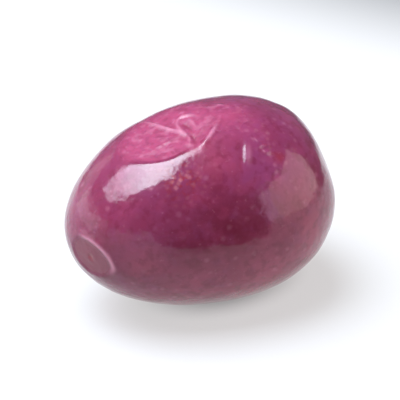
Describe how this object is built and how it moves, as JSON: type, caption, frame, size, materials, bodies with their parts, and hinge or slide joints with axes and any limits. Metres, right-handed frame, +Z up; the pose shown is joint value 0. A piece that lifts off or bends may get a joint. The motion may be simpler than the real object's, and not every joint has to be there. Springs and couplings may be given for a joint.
{
  "type": "azapa olive",
  "caption": "Whole purple table olive lying on its side: a plump egg-shaped fruit with a round stem scar, a sunken wrinkled patch and a small flat that it rests on.",
  "frame": {"origin": "middle of the small flat on the underside that the olive rests on", "axes": "+X along the fruit from the stem scar to the blunt tip, +Z up from the resting surface"},
  "size_m": [0.03, 0.0224, 0.0215],
  "materials": {
    "skin": "moist glossy purple fruit skin, pinker where it is loose and wrinkled, with tiny pale dots"
  },
  "bodies": {
    "root": {"olive": "skin"}
  },
  "joints": []
}
